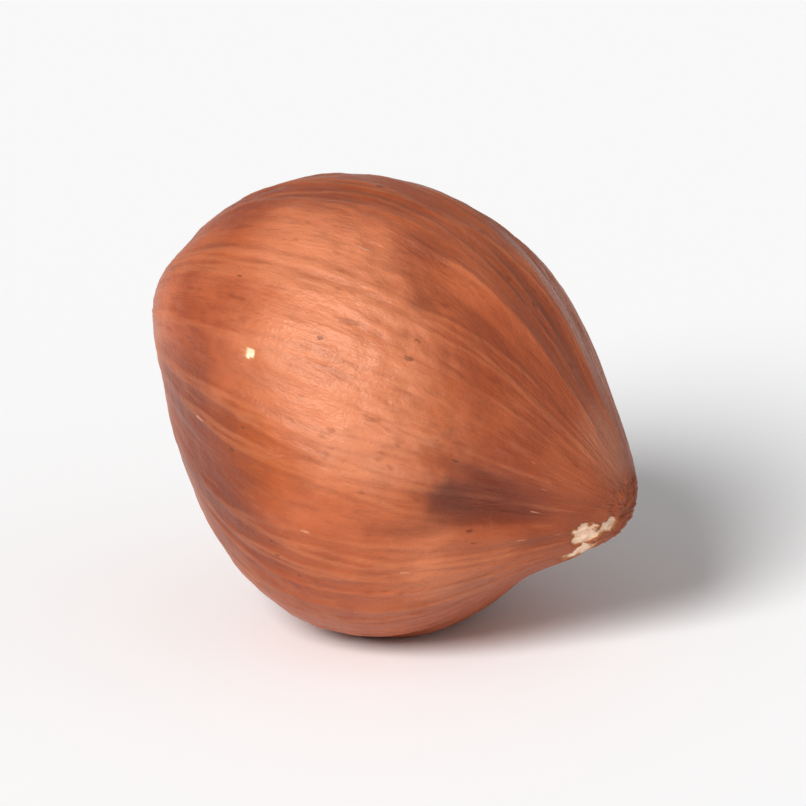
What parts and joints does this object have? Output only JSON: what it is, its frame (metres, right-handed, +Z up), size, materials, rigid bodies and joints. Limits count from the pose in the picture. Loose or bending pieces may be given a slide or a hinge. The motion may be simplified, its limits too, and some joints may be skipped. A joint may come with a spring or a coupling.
{
  "type": "hazelnut kernel",
  "caption": "Shelled hazelnut kernel in its brown skin, round with a small blunt beak, lying on its side on a small flat spot.",
  "frame": {"origin": "on the surface the kernel lies on, below the middle of its bounding box", "axes": "+Z up, +X towards the beaked tip, +Y to the left when looking along +X"},
  "size_m": [0.0146, 0.013, 0.0131],
  "materials": {
    "nut_skin": "satin, finely veined dry skin"
  },
  "bodies": {
    "root": {"kernel": "nut_skin"}
  },
  "joints": []
}
